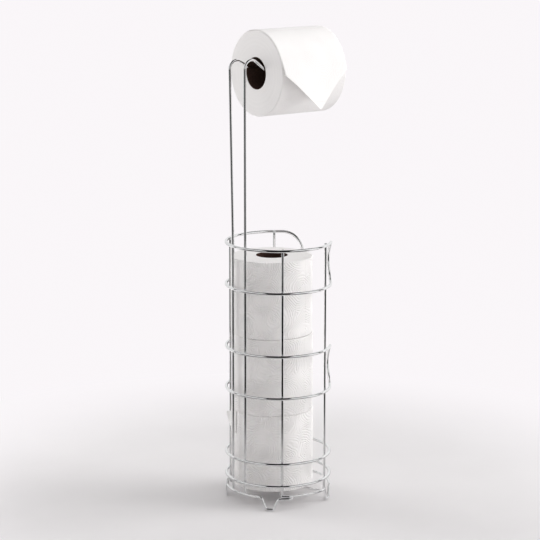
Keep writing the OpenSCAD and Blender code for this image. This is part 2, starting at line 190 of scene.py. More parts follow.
def paper_side_material(name, emboss, white):
    """Tissue whose pressed pattern of nested arcs stands emboss high, in metres.
    white scales its brightness, as painted light that makes the stored rolls brighter than the roll in use."""
    n = Nodes(bpy.data.materials.new(name))
    # The UV map holds millimetres along the winding and up the roll
    flat = n.add("UVMap", uv_map="flat").outputs[0]
    u, v, _ = n.parts(flat)
    warp = n.add("TexNoise", {"Vector": flat, "Scale": 0.03, "Detail": 2.0}).outputs["Color"]
    shift = n.add("VectorMath", {0: warp, "Scale": WANDER}, operation="SCALE").outputs[0]
    bent = n.add("VectorMath", {0: flat, 1: shift}).outputs[0]
    cells = n.add("TexVoronoi", {"Vector": bent, "Scale": 1 / CELL, "Randomness": 0.8},
                  voronoi_dimensions="2D").outputs["Distance"]
    waves = n.math("SINE", n.math("MULTIPLY", cells, CELL * 2 * math.pi / ARC_PITCH))
    # The pattern is pressed deep in some places and has gone flat in others
    depth = n.add("MapRange", {"Value": n.noise(flat, 0.045, 2.0), "From Min": 0.28, "From Max": 0.52})
    rings = n.math("MULTIPLY", waves, depth.outputs[0])
    stretched = n.add("VectorMath", {0: flat, 1: (0.9, 4.5, 1.0)}, operation="MULTIPLY").outputs[0]
    crepe = n.noise(stretched, 1.0, 3.0)
    fibre = n.noise(flat, 2.6, 3.0)
    along = n.math("SUBTRACT", n.math("WRAP", u, ROW_PITCH / 2, -ROW_PITCH / 2), ROW_AT)
    row = n.math("LESS_THAN", n.math("ABSOLUTE", along), CUT_HALF)
    cuts = n.math("MULTIPLY", row, n.math("GREATER_THAN", n.math("WRAP", v, CUT_PITCH, 0.0), CUT_GAP))
    soft = n.noise(flat, 0.02, 2.0)
    tint = n.ramp(soft, [(spot, tuple(value * white for value in tone)) for spot, tone in (
        (0.35, (0.862, 0.846, 0.838)), (0.65, (0.892, 0.876, 0.868)))])
    # The cuts are painted darker than the tissue: painted shade in the slits
    cut_shaded_tint = n.mix(n.math("MULTIPLY", cuts, 0.35), tint, (0.60, 0.59, 0.58))
    normal = n.bump(crepe, 0.00012, 0.35)
    normal = n.bump(fibre, 0.00010, 0.30, normal)
    normal = n.bump(rings, emboss, 0.75, normal)
    normal = n.bump(cuts, -0.00015, 0.5, normal)
    rough = n.add("MapRange", {"Value": fibre, "To Min": 0.86, "To Max": 0.97})
    return n.done(n.add("BsdfPrincipled", {
        "Base Color": cut_shaded_tint, "Roughness": rough.outputs[0], "Normal": normal,
        "Specular IOR Level": 0.18, "Sheen Weight": 0.12, "Sheen Roughness": 0.6,
    }).outputs[0])


def paper_end_material():
    n = Nodes(bpy.data.materials.new("tissue_end_painted_shade"))
    place = n.add("TexCoord").outputs["Object"]
    wander = n.noise(place, 45.0, 2.0)
    # Millimetres from the core, unevenly wound
    turn = n.math("ADD", n.math("MULTIPLY", n.from_axis(place), 1 / MM), n.math("MULTIPLY", wander, 1.6))
    layers = n.line_noise(turn, 2.2, 3.0)
    bands = n.line_noise(turn, 0.35, 1.0)
    lint = n.noise(place, 2600.0, 3.0)
    # Tones 3 % darker than the sides' tissue: painted shade on the end faces
    tint = n.ramp(n.math("ADD", n.math("MULTIPLY", layers, 0.6), n.math("MULTIPLY", bands, 0.4)),
                  [(0.34, (0.836, 0.820, 0.812)), (0.66, (0.860, 0.844, 0.836))])
    normal = n.bump(lint, 0.00008, 0.30, n.bump(layers, 0.00012, 0.35))
    rough = n.add("MapRange", {"Value": lint, "To Min": 0.88, "To Max": 0.98})
    return n.done(n.add("BsdfPrincipled", {
        "Base Color": tint, "Roughness": rough.outputs[0], "Normal": normal,
        "Specular IOR Level": 0.15, "Sheen Weight": 0.10, "Sheen Roughness": 0.6,
    }).outputs[0])


# How far the card strip climbs in one turn, in metres
STRIP_PITCH = 0.072


def shaded_card_material():
    n = Nodes(bpy.data.materials.new("core_card_painted_shade"))
    place = n.add("TexCoord").outputs["Object"]
    x, y, z = n.parts(place)
    turn = n.math("DIVIDE", n.math("ARCTAN2", y, x), 2 * math.pi)
    # The strip is wound in a steep spiral, with a butt seam once a pitch
    climb = n.math("FRACT", n.math("ADD", n.math("DIVIDE", z, STRIP_PITCH), turn))
    seam = n.math("LESS_THAN", n.math("ABSOLUTE", n.math("SUBTRACT", climb, 0.5)), 0.006)
    pulp = n.noise(place, 420.0, 4.0)
    stretched = n.add("VectorMath", {0: place, 1: (1.0, 1.0, 5.0)}, operation="MULTIPLY").outputs[0]
    fleck = n.noise(stretched, 1400.0, 2.0)
    # The card's tones are set far darker than card is: painted shade for the dim inside of the tubes
    tint = n.ramp(n.math("ADD", n.math("MULTIPLY", pulp, 0.65), n.math("MULTIPLY", fleck, 0.35)),
                  [(0.30, (0.030, 0.014, 0.011)), (0.70, (0.066, 0.036, 0.027))])
    shade = n.mix(n.math("MULTIPLY", seam, 0.7), tint, (0.03, 0.018, 0.012))
    normal = n.bump(fleck, 0.00006, 0.4, n.bump(seam, -0.0003, 0.6))
    rough = n.add("MapRange", {"Value": pulp, "To Min": 0.78, "To Max": 0.95})
    return n.done(n.add("BsdfPrincipled", {
        "Base Color": shade, "Roughness": rough.outputs[0], "Normal": normal, "Specular IOR Level": 0.2,
    }).outputs[0])


CHROME = chrome_material()
# The stored rolls' tissue is made 3.5 % brighter than the same tissue on the roll in use: painted light
TISSUE_SIDE_LIT = paper_side_material("tissue_side_painted_light", 0.00040, 1.035)
TISSUE_SMOOTH = paper_side_material("tissue_smooth", 0.00006, 1.0)
TISSUE_END_SHADED = paper_end_material()
SHADED_CARD = shaded_card_material()


# Mesh helpers
def piece(name, points, faces, materials, face_slots=None, flat=None):
    """A smooth mesh object from points in millimetres.
    flat holds two values in millimetres for each face corner."""
    mesh = bpy.data.meshes.new(name)
    mesh.from_pydata([tuple(p) for p in np.asarray(points) * MM], [], [tuple(f) for f in faces])
    for m in materials:
        mesh.materials.append(m)
    mesh.polygons.foreach_set("use_smooth", [True] * len(mesh.polygons))
    if face_slots is not None:
        mesh.polygons.foreach_set("material_index", list(face_slots))
    if flat is not None:
        layer = mesh.uv_layers.new(name="flat")
        layer.data.foreach_set("uv", np.asarray(flat, np.float32).ravel())
    mesh.validate()
    mesh.update()
    obj = bpy.data.objects.new(name, mesh)
    bpy.context.scene.collection.objects.link(obj)
    return obj


def grid_faces(rows, columns, wrap_rows=False, wrap_columns=True):
    faces = []
    for i in range(rows if wrap_rows else rows - 1):
        for k in range(columns if wrap_columns else columns - 1):
            a, b = i * columns + k, i * columns + (k + 1) % columns
            m = (i + 1) % rows * columns
            faces.append((a, b, m + (k + 1) % columns, m + k))
    return faces


WIRE_SIDES = 24
# Rounding of a cut wire end, as distance from the end and width, both in wire radii
DOME = [(0.0, 0.45), (0.05, 0.66), (0.15, 0.82), (0.32, 0.94), (0.55, 1.0)]


def tangents(p, closed):
    if closed:
        t = np.roll(p, -1, 0) - np.roll(p, 1, 0)
    else:
        t = np.gradient(p, axis=0)
    return t / np.linalg.norm(t, axis=1)[:, None]


def wire(name, path, r, closed, node, first=None):
    """A round drawn wire along a path, with eased cut ends where it is open.
    Its section is turned by carrying the direction first along it, or else faces out from the Z axis."""
    p = np.array(path, float)
    sizes = np.ones(len(p))
    if not closed:
        # Rings of the rounded ends are put in along the first and last stretch
        head, tail = p[0] - p[1], p[-1] - p[-2]
        head, tail = head / np.linalg.norm(head), tail / np.linalg.norm(tail)
        start = [p[0] - head * d * r for d, _ in DOME]
        end = [p[-1] - tail * d * r for d, _ in reversed(DOME)]
        sizes = np.array([s for _, s in DOME] + [1.0] * (len(p) - 2) + [s for _, s in reversed(DOME)])
        p = np.vstack([start, p[1:-1], end])
    t = tangents(p, closed)
    if first is None:
        out = p * [1, 1, 0]
        a = out / np.linalg.norm(out, axis=1)[:, None]
        a -= (a * t).sum(1)[:, None] * t
        a /= np.linalg.norm(a, axis=1)[:, None]
    else:
        a, v = np.zeros_like(p), np.array(first, float)
        for i in range(len(p)):
            v = v - (v @ t[i]) * t[i]
            v /= np.linalg.norm(v)
            a[i] = v
    b = np.cross(t, a)
    angle = 2 * np.pi * (np.arange(WIRE_SIDES) + 0.5) / WIRE_SIDES
    rings = p[:, None] + r * sizes[:, None, None] * (
        np.cos(angle)[None, :, None] * a[:, None] + np.sin(angle)[None, :, None] * b[:, None])
    points = rings.reshape(-1, 3)
    faces = grid_faces(len(p), WIRE_SIDES, wrap_rows=closed)
    if not closed:
        count = len(points)
        points = np.vstack([points, p[0], p[-1]])
        faces += [(count, (k + 1) % WIRE_SIDES, k) for k in range(WIRE_SIDES)]
        last = count - WIRE_SIDES
        faces += [(count + 1, last + k, last + (k + 1) % WIRE_SIDES) for k in range(WIRE_SIDES)]
    obj = piece(name, points, faces, [CHROME])
    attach(obj, "stand")
    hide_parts(node)


# The wire stand, with the degrees about Z between one ring of a bent wire and the next
FINE = 2.0


def arc_path(start, stop, r, z):
    n = max(2, math.ceil(abs(stop - start) / FINE))
    return [at(start + (stop - start) * i / n, r, z) for i in range(1, n)]


def loop_path(z):
    r, rise, span = HOOP_RADIUS, LOOP_HEIGHT / 2, LOOP_END_LEFT + LOOP_END_RIGHT
    flat_n, end_n = int(span / FINE), 44
    swing = lambda a: math.degrees(rise * math.sin(a) / r)
    turn = [math.pi * i / end_n for i in range(end_n)]
    return (
        [at(-LOOP_END_LEFT + span * i / flat_n, r, z) for i in range(flat_n)]
        + [at(LOOP_END_RIGHT + swing(a), r, z + rise * (1 - math.cos(a))) for a in turn]
        + [at(LOOP_END_RIGHT - span * i / flat_n, r, z + LOOP_HEIGHT) for i in range(flat_n)]
        + [at(-LOOP_END_LEFT - swing(a), r, z + rise * (1 + math.cos(a))) for a in turn]
    )


def foot_half(depth):
    """Half of a foot, as distances from its middle and heights above its bottom."""
    s = math.radians(FOOT_SLOPE)
    run = (depth - (FOOT_BEND + SHOULDER_BEND) * (1 - math.cos(s))) / math.tan(s)
    reach = FOOT_FLAT_HALF + (FOOT_BEND + SHOULDER_BEND) * math.sin(s) + run
    steps = [s * i / 9 for i in range(10)]
    return (
        [(FOOT_FLAT_HALF * 0.6, 0.0)]
        + [(FOOT_FLAT_HALF + FOOT_BEND * math.sin(a), FOOT_BEND * (1 - math.cos(a))) for a in steps]
        + [(reach - SHOULDER_BEND * math.sin(a), depth - SHOULDER_BEND * (1 - math.cos(a)))
           for a in reversed(steps)]
    )


def foot_path(phi, depth_in, depth_out):
    k = 180 / math.pi / BASE_RADIUS
    return (
        [at(phi - x * k, BASE_RADIUS, FOOT_Z + h) for x, h in reversed(foot_half(depth_in))]
        + [at(phi + x * k, BASE_RADIUS, FOOT_Z + h) for x, h in foot_half(depth_out)]
    )


def foot_reach(depth):
    """Half the angle that a foot takes up on the ring."""
    return foot_half(depth)[-1][0] / BASE_RADIUS * 180 / math.pi


def start_z(phi):
    """Height of the base wire's raised start at phi, eased down to the ring."""
    t = min(1.0, max(0.0, (phi - LAP_LEVEL_PHI) / (LAP_DOWN_PHI - LAP_LEVEL_PHI)))
    return BASE_Z + RIB_R * (1 + math.cos(math.pi * t)) / 2


def base_path():
    f, g, b, depth = RIGHT_FOOT_PHI, LEFT_FOOT_PHI, BACK_FOOT_PHI, BASE_Z - FOOT_Z
    w, w_lap = foot_reach(depth), foot_reach(depth - RIB_R)
    r, z = BASE_RADIUS, BASE_Z
    first = np.linspace(LAP_START_PHI, b - w, math.ceil((b - w - LAP_START_PHI) / FINE) + 1)[:-1]
    return (
        [at(phi, r, start_z(phi)) for phi in first] + foot_path(b, depth, depth)
        + arc_path(b + w, 360 - b - w, r, z) + foot_path(360 - b, depth, depth)
        + arc_path(360 - b + w, 360 - g - w, r, z) + foot_path(360 - g, depth, depth)
        + arc_path(360 - g + w, 360 + f - w, r, z) + foot_path(360 + f, depth, depth - RIB_R)
        + arc_path(360 + f + w_lap, 360 + LAP_STOP_PHI, r, z - RIB_R)
        + [at(360 + LAP_STOP_PHI, r, z - RIB_R)]
    )


def rib_path(start, stop, cross_z):
    """A rib with its uprights at two angles phi, joined across the bottom."""
    middle, spread = (start + stop) / 2, math.radians(stop - start) / 2
    half, centre = RIB_RADIUS * math.sin(spread), at(middle, RIB_RADIUS * math.cos(spread), 0)
    across = (math.cos(math.radians(middle)), math.sin(math.radians(middle)))
    mid_x = half - RIB_BEND
    run, rise = mid_x - CROSS_HALF, cross_z - RIB_BEND_Z
    slope = math.atan2(rise, run) + math.asin(RIB_BEND / math.hypot(run, rise))
    turn = [(math.pi / 2 + slope) * i / 14 for i in range(15)]
    side = (
        [(half, RIB_TOP_Z)]
        + [(half, z) for z in np.linspace(RIB_TOP_Z - 8, RIB_BEND_Z + 6, 24)]
        + [(mid_x + RIB_BEND * math.cos(a), RIB_BEND_Z - RIB_BEND * math.sin(a)) for a in turn]
        + [(CROSS_HALF + 2.0, cross_z - 0.5 * math.tan(slope)), (CROSS_HALF - 2.0, cross_z)]
    )
    both = side + [(-x, z) for x, z in reversed(side)]
    return [(centre[0] + x * across[0], centre[1] + x * across[1], z) for x, z in both]


def arm_path():
    def bend(cy, cz, r, start, stop, n):
        return [(LEG_GAP_TOP / 2, cy + r * math.cos(a), cz + r * math.sin(a))
                for a in np.linspace(start, stop, n + 1)]

    def side(rise):
        """One leg and its way to the middle of the crossbar, for a hump that stands rise above the mean."""
        s, half = arm_slope(rise), LEG_GAP_TOP / 2
        lean_from, hump = TOP_WIRE_Z + 2 * HOOP_R, HUMP_Z + rise
        legs = [(LEG_GAP / 2, -LEG_Y, z) for z in np.linspace(LEG_FOOT_Z, lean_from - 3, 30)]
        # The lean starts in a soft bend rather than a corner
        top, low = (half, -(LEG_Y + LEG_LEAN), hump - HUMP_BEND), (LEG_GAP / 2, -LEG_Y, lean_from)
        lean = [tuple(np.array(low) + (np.array(top) - low) * f) for f in np.linspace(0.02, 0.98, 24)]
        return (
            legs + lean + bend(-HUMP_Y, hump - HUMP_BEND, HUMP_BEND, math.pi, math.pi / 2 - s, 30)
            + bend(LEVEL_INSIDE - HUNG_START, DIP_Z + DIP_BEND, DIP_BEND,
                   -math.pi / 2 - s, -math.pi / 2, 10)
            + bend(ARM_END_Y - STOP_BEND, DIP_Z + STOP_BEND, STOP_BEND, -math.pi / 2, 0, 12)
            + [(half - END_BEND * (1 - math.cos(a)), ARM_END_Y,
                DIP_Z + STOP_HEIGHT - END_BEND * (1 - math.sin(a)))
               for a in np.linspace(0, math.pi / 2, 15)]
        )

    return side(HUMP_RISE / 2) + [(-x, y, z) for x, y, z in reversed(side(-HUMP_RISE / 2))]


wire("arm_chrome", arm_path(), RIB_R, False, node="arm_wire", first=(0, -1, 0))
wire("upper_loop_chrome", loop_path(UPPER_LOOP_Z), HOOP_R, True, node="upper_loop")
wire("middle_loop_chrome", loop_path(MIDDLE_LOOP_Z), HOOP_R, True, node="middle_loop")
for hoop_name, hoop_z in (("high_hoop", HIGH_HOOP_Z), ("low_hoop", LOW_HOOP_Z)):
    circle = [at(a, HOOP_RADIUS, hoop_z) for a in np.arange(0, 360, FINE)]
    wire(hoop_name + "_chrome", circle, HOOP_R, True, node=hoop_name)
wire("base_chrome", base_path(), RIB_R, False, node="base_wire")
for rib, start, stop, z in (("rib_left_front", -RIB_LEFT_PHI, 180 - RIB_PHI, LOW_CROSS_Z),
                            ("rib_right_front", RIB_PHI, 180 + RIB_PHI, HIGH_CROSS_Z)):
    wire(rib + "_chrome", rib_path(start, stop, z), RIB_R, False, node=rib,
         first=at((start + stop) / 2, 1, 0))


def weld_points():
    """Where two wires cross and are welded, as position and outward angle phi."""
    leg_phi = math.degrees(math.asin(LEG_GAP / 2 / RIB_RADIUS))
    uprights = [RIB_PHI, -RIB_LEFT_PHI, 180 - RIB_PHI, RIB_PHI - 180, leg_phi, -leg_phi]
    rings = [LOW_HOOP_Z, HIGH_HOOP_Z, MIDDLE_LOOP_Z, MIDDLE_LOOP_Z + LOOP_HEIGHT, UPPER_LOOP_Z, TOP_WIRE_Z]
    found = [(at(p, HOOP_RADIUS - HOOP_R, z), p) for p in uprights for z in rings]
    # At the lap a rib meets the wire's raised start
    return found + [(at(p, BASE_RADIUS - RIB_R, start_z(p) if p == RIB_PHI else BASE_Z), p)
                    for p in uprights]


def welds():
    """Small smooth beads of melted wire at every crossing, plated over with the rest."""
    points, faces = [], []
    rings, sides, depth, width, pinch = 9, 14, 0.85, 2.05, 0.10
    up = np.array([0, 0, 1])
    for centre, phi in weld_points():
        a = math.radians(phi)
        out, across = np.array([math.sin(a), -math.cos(a), 0]), np.array([math.cos(a), math.sin(a), 0])
        start = len(points)
        for i in range(rings):
            u = math.pi * (i + 0.5) / rings
            for k in range(sides):
                v = 2 * math.pi * k / sides
                # A pillow that is flat towards both wires and pinched in between its corners
                lobe = 1 + pinch * math.cos(4 * v + math.pi)
                points.append(np.array(centre) + depth * math.cos(u) * out
                              + width * lobe * math.sin(u) * (math.cos(v) * across + math.sin(v) * up))
        faces += [tuple(start + i for i in f) for f in grid_faces(rings, sides)]
        faces += [tuple(start + k for k in range(sides - 1, -1, -1)),
                  tuple(start + (rings - 1) * sides + k for k in range(sides))]
    obj = piece("weld_beads", points, faces, [CHROME])
    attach(obj, "stand")


welds()


# The rolls
def soft_noise(*p):
    return noise.noise(Vector(p))


# Rounding of a roll's edges, and the step where its outer sheet ends
EDGE, STEP = 1.4, 0.35
# Soft unevenness: over the side, two sizes of dent along a rim, a rim's width, and how far turns stand in
SWELL, RIM_DENT, RIM_CRUMPLE, RIM_WIDTH, END_SINK = 0.30, 0.45, 0.16, 11.0, 0.55


def roll_mesh(name, r, seed, seam, dents, radius_at=None, side_paper=TISSUE_SIDE_LIT):
    """Wound paper about the local Z axis, its middle at the origin.
    seam is the angle where the outer sheet ends, and dents scales the soft unevenness. radius_at, where
    it is given, is what the radius grows by at a share of the way round from the seam."""
    around, half, edge = 288, ROLL_LENGTH / 2, EDGE
    # The outline from the core, over an end face, down the side and back over the other end face
    end_radii = np.concatenate([np.linspace(CORE_R, r - edge - 1.5, 22), [r - edge - 0.4]])
    ease = [(r - edge * (1 - math.sin(a)), half - edge * (1 - math.cos(a)))
            for a in np.linspace(0, math.pi / 2, 8)]
    heights = np.linspace(half - edge, -(half - edge), 56)[1:-1]
    top = [(q, half) for q in end_radii] + ease
    outline = top + [(r, z) for z in heights] + [(q, -z) for q, z in reversed(top)]
    kinds = ["end"] * len(end_radii) + ["side"] * (len(ease) * 2 + len(heights)) + ["end"] * len(end_radii)
    rows = len(outline)
    length = np.concatenate([[0], np.cumsum([math.dist(a, b) for a, b in zip(outline, outline[1:])])])
    points = np.zeros((rows, around + 1, 3))
    for k in range(around + 1):
        share = k / around
        angle = math.radians(seam) + 2 * math.pi * share
        c, s = math.cos(angle), math.sin(angle)
        # The outer turn grows by one sheet, from its start to its free end
        grow = STEP * (share - 1.0) if radius_at is None else radius_at(share)
        for i, (q, z) in enumerate(outline):
            wave = 0.0
            if q > r - edge - 0.1:
                wave = SWELL * soft_noise(c * 1.6, s * 1.6, z * 0.018 + seed) - 0.12
                rim = max(0.0, 1 - (half - abs(z)) / RIM_WIDTH)
                wave += RIM_DENT * rim * soft_noise(c * 5.0, s * 5.0, seed * 3.1 + math.copysign(2, z))
                wave += RIM_CRUMPLE * rim * soft_noise(c * 13.0, s * 13.0, seed * 1.7 + z * 0.2)
                wave = min(0.0, wave - 0.05) * dents
            fade = (q - CORE_R) / (r - CORE_R)
            radial = q + fade * (grow + wave)
            # End faces: turns that stand a little in or out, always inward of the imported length
            sink = 0.0
            if abs(z) > half - edge * 0.6:
                turns = 0.5 + 0.5 * soft_noise(q * 0.55 + seed, seed, 3.0 + math.copysign(1, z))
                lay = 0.5 + 0.5 * soft_noise(c * 1.3 + seed, s * 1.3, q * 0.09)
                sink = END_SINK * turns * lay * min(1.0, (q - CORE_R) / 3.0 + 0.15)
            points[i, k] = (radial * c, radial * s, z - math.copysign(sink, z))
    count = around + 1
    faces, slots, flat = [], [], []
    perimeter = 2 * math.pi * r
    for i in range(rows - 1):
        side = kinds[i] == "side" and kinds[i + 1] == "side"
        for k in range(around):
            a, b = i * count + k, (i + 1) * count + k
            faces.append((a, b, b + 1, a + 1))
            slots.append(0 if side else 1)
            # Each roll shows another stretch of the pattern
            u0, u1 = perimeter * k / around + seed * 37.0, perimeter * (k + 1) / around + seed * 37.0
            v0, v1 = length[i] + seed * 11.0, length[i + 1] + seed * 11.0
            flat += [(u0, v0), (u0, v1), (u1, v1), (u1, v0)]
    # The bore, and the step where the outer sheet ends
    for k in range(around):
        faces.append((k + 1, (rows - 1) * count + k + 1, (rows - 1) * count + k, k))
        slots.append(1)
        flat += [(0, 0)] * 4
    for i in range(rows - 1):
        faces.append((i * count, i * count + around, (i + 1) * count + around, (i + 1) * count))
        slots.append(1)
        flat += [(0, 0)] * 4
    obj = piece(name, points.reshape(-1, 3), faces, [side_paper, TISSUE_END_SHADED], slots, flat)
    obj.modifiers.new("weld", "WELD").merge_threshold = 0.00002
    return obj


def core_mesh(name, seed):
    """Spiral-wound card tube about the local Z axis, its ends cut a little unevenly."""
    around, half = 96, ROLL_LENGTH / 2
    bore, outside = CORE_R - CORE_WALL, CORE_R - 0.06
    outline = [(outside, half - 0.25), (CORE_R - 0.18, half - 0.05), (CORE_R - 0.55, half - 0.05),
               (bore, half - 0.3)]
    inner = [(bore, z) for z in np.linspace(half - 4, -(half - 4), 12)]
    outer = [(outside, z) for z in np.linspace(-(half - 4), half - 4, 6)]
    loop = outline + inner + [(q, -z) for q, z in reversed(outline)] + outer
    points = []
    for q, z in loop:
        for k in range(around):
            a = 2 * math.pi * k / around
            c, s = math.cos(a), math.sin(a)
            # The cut stands out of the outline by a changing amount, and the bore swells in and out
            cut = 0.25 * (0.5 + 0.5 * soft_noise(c * 2, s * 2, seed)) if abs(z) > half - 1 else 0.0
            swell = 0.05 * soft_noise(c, s, z * 0.05 + seed) if q < CORE_R - 0.5 else 0.0
            points.append(((q + swell) * c, (q + swell) * s, z + math.copysign(cut, z)))
    faces = [f[::-1] for f in grid_faces(len(loop), around, wrap_rows=True)]
    return piece(name, points, faces, [SHADED_CARD])


def place(obj, matrix, body, slot, node):
    obj.matrix_world = matrix
    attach(obj, body)
    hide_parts(node)


# The stored rolls from the bottom up: body, angle where the outer sheet ends, and amount of unevenness
STORED = (("low_roll", -90 + SHIFT_PHI - 14.0, 1.25), ("mid_roll", 118.0, 1.0), ("top_roll", 95.0, 0.9))
for index, (body, seam, dents) in enumerate(STORED):
    middle = Vector(at(SHIFT_PHI, SHIFTS[index], STACK_Z + (index + 0.5) * ROLL_LENGTH)) * MM
    spot = Matrix.Translation(middle)
    place(roll_mesh(body + "_tissue", ROLL_R, 1.0 + index * 2.3, seam, dents),
          spot, body, "paper", body + "_paper")
    place(core_mesh(body + "_tube", 4.0 + index), spot, body, "card", body + "_core")

# The roll in use lies along +Y, so its local Z points that way and its local Y points down
HUNG = Matrix.Translation(Vector((0, HUNG_MID_Y, HUNG_Z)) * MM) @ Matrix.Rotation(math.radians(-90), 4, "X")


def hung_angle(from_top):
    """Local angle of a place on the roll in use, given its angle from straight up towards +X."""
    return -90 + from_top


def hung_radius(share):
    """What the hanging roll grows by: nothing under its outermost sheet, and elsewhere out to the sheet's
    outside. share runs from the sheet's exit round under the roll and back over the top."""
    covered = (WRAP_TO - WRAP_FROM) / 360
    if share < 1 - covered:
        return (HUNG_R - HUNG_PAPER_R) * min(1.0, share / 0.12)
    return (HUNG_R - HUNG_PAPER_R) * max(0.0, 1 - (share - 1 + covered) / 0.004)


place(roll_mesh("hung_roll_tissue", HUNG_PAPER_R, 9.4, hung_angle(WRAP_TO), 0.35,
                radius_at=hung_radius, side_paper=TISSUE_SMOOTH),
      HUNG, "hung_roll", "paper", "hung_roll_paper")
place(core_mesh("hung_roll_tube", 12.0), HUNG, "hung_roll", "card", "hung_roll_core")


def curve(a, way_a, b, way_b, f):
    """Point and direction on a smooth curve in XZ that leaves a and meets b at two slopes below the level."""
    length = math.hypot(b[0] - a[0], b[1] - a[1])
    ends = [np.array([math.cos(math.radians(w)), -math.sin(math.radians(w))]) * length
            for w in (way_a, way_b)]
    a, b = np.array(a), np.array(b)
    p = ((2 * f**3 - 3 * f**2 + 1) * a + (f**3 - 2 * f**2 + f) * ends[0]
         + (3 * f**2 - 2 * f**3) * b + (f**3 - f**2) * ends[1])
    d = ((6 * f**2 - 6 * f) * a + (3 * f**2 - 4 * f + 1) * ends[0]
         + (6 * f - 6 * f**2) * b + (3 * f**2 - 2 * f) * ends[1])
    return p, d / np.linalg.norm(d)


def tail_mesh():
    """The outermost sheet: wrapped over the top, lifting off along its near edge, hanging to a folded point."""
    half, fold, sides = ROLL_LENGTH / 2, 0.30, 20
    wrap, middle_r = math.radians(WRAP_TO - WRAP_FROM), HUNG_R - SHEET_THICK / 2
    exit_a = math.radians(WRAP_TO)
    exit_at = (middle_r * math.sin(exit_a), middle_r * math.cos(exit_a))
    # Where the fold begins at the near and far edges, and the point, seen from the roll's axis
    near, far, point = (62.9, 2.9), (57.5, 3.0), (70.8, -45.2)
    # Slopes below the level at the near and far edges, where the fold begins and at the point
    fold_way, point_way = (66, 84), (86, 66)
    whole = DROP_LENGTH + POINT_LENGTH

    def spot(s, t, back):
        """s across the sheet, t along it from its exit and back the depth behind its face, in millimetres."""
        if t <= 0:
            a = exit_a + t / middle_r
            q, way = np.array([middle_r * math.sin(a), middle_r * math.cos(a)]), (math.cos(a), -math.sin(a))
        else:
            # How far across from the near edge to the far one, in the strip or in the narrowing point
            room = half if t <= DROP_LENGTH else max(half * (whole - t) / POINT_LENGTH, 1e-6)
            c = min(1.0, max(0.0, 0.5 + 0.5 * s / room))
            shoulder = np.array(near) * (1 - c) + np.array(far) * c
            turn = fold_way[0] * (1 - c) + fold_way[1] * c
            if t <= DROP_LENGTH:
                q, way = curve(exit_at, WRAP_TO, shoulder, turn, t / DROP_LENGTH)
            else:
                last_turn = point_way[0] * (1 - c) + point_way[1] * c
                q, way = curve(shoulder, turn, point, last_turn, (t - DROP_LENGTH) / POINT_LENGTH)
        return [q[0] + back * way[1], s, q[1] - back * way[0]]

    rows = [-wrap * middle_r * (1 - f) for f in np.linspace(0, 1, 40)]
    rows += list(np.linspace(0, DROP_LENGTH, 22)[1:])
    tri = list(np.linspace(DROP_LENGTH, whole - 0.9, 44))
    points, faces, flat = [], [], []

    def strip(lines):
        """Faces between lines of corners, each corner a place (s, t, back) and its flat position."""
        start, wide = len(points), len(lines[0])
        points.extend(spot(*corner[0]) for line in lines for corner in line)
        for i in range(len(lines) - 1):
            for k in range(wide - 1):
                a = start + i * wide + k
                faces.append((a, a + 1, a + wide + 1, a + wide))
                # The winding runs along the UV map's first value
                flat.extend((t + 300.0, s + 400.0) for s, t in (
                    lines[i][k][1], lines[i][k + 1][1], lines[i + 1][k + 1][1], lines[i + 1][k][1]))

    def reach(t):
        return half if t <= DROP_LENGTH else half * (whole - t) / POINT_LENGTH

    across = np.linspace(-1, 1, 2 * sides + 1)
    strip([[((reach(t) * c, t, 0.0), (reach(t) * c, t)) for c in across] for t in rows + tri[1:]])
    # A rounded fold and a flap behind the face along each edge of the point
    for side in (-1, 1):
        lines = []
        for t in tri:
            r = reach(t)
            line = [((side * r, t, 0.0), (side * r, t))]
            for a in [math.pi * j / 4 for j in range(1, 4)]:
                line.append(((side * (r + fold * math.sin(a)), t, fold * (1 - math.cos(a))), (side * r, t)))
            line += [((side * r * c, t, 2 * fold + 0.25 * (1 - c)), (side * r * (2 - c), t))
                     for c in np.linspace(1, 0.006, sides)]
            lines.append(line[::side])
        strip(lines)
    obj = piece("hung_roll_tail", points, faces, [TISSUE_SMOOTH], None, flat)
    obj.modifiers.new("weld", "WELD").merge_threshold = 0.00001
    bulk = obj.modifiers.new("plies", "SOLIDIFY")
    bulk.thickness, bulk.offset = 0.00028, 0.0
    obj.location = Vector((0, HUNG_MID_Y, HUNG_Z)) * MM
    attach(obj, "hung_roll")
    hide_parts("hung_roll_sheet")


tail_mesh()


def corner_mesh():
    """The loose corner of the low roll's outer sheet, curling off its side like a leaf."""
    columns, lines = 30, 22
    top = ROLL_LENGTH / 2 - 1.6
    points, faces, flat = [], [], []
    for i in range(lines + 1):
        f = i / lines
        for k in range(columns + 1):
            t = k / columns
            # The attached edge is tall, and the sheet narrows towards its corner at the top
            high = top - FLAP_DROP * t**2
            low = top - FLAP_HEIGHT + (FLAP_HEIGHT - FLAP_DROP - FLAP_TIP) * t**3
            curl = FLAP_OUT * t**2 * (1 - 0.22 * f * (1 - t)) + 0.25
            radius = ROLL_R - 0.1 + curl + 0.18 * math.sin(9 * t + 4 * f) * t
            points.append(at(FLAP_FROM - FLAP_ANGLE * t, radius, high + (low - high) * f))
    n = columns + 1
    for i in range(lines):
        for k in range(columns):
            a = i * n + k
            corners = (a, a + n, a + n + 1, a + 1)
            faces.append(corners)
            flat += [((b % n) * 0.9, (b // n) * 1.4) for b in corners]
    obj = piece("low_roll_corner", points, faces, [TISSUE_SIDE_LIT], None, flat)
    bulk = obj.modifiers.new("plies", "SOLIDIFY")
    bulk.thickness, bulk.offset = 0.0003, 0.0
    obj.location = Vector(at(SHIFT_PHI, SHIFTS[0], STACK_Z + ROLL_LENGTH / 2)) * MM
    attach(obj, "low_roll")
    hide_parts("low_roll_flap")


corner_mesh()


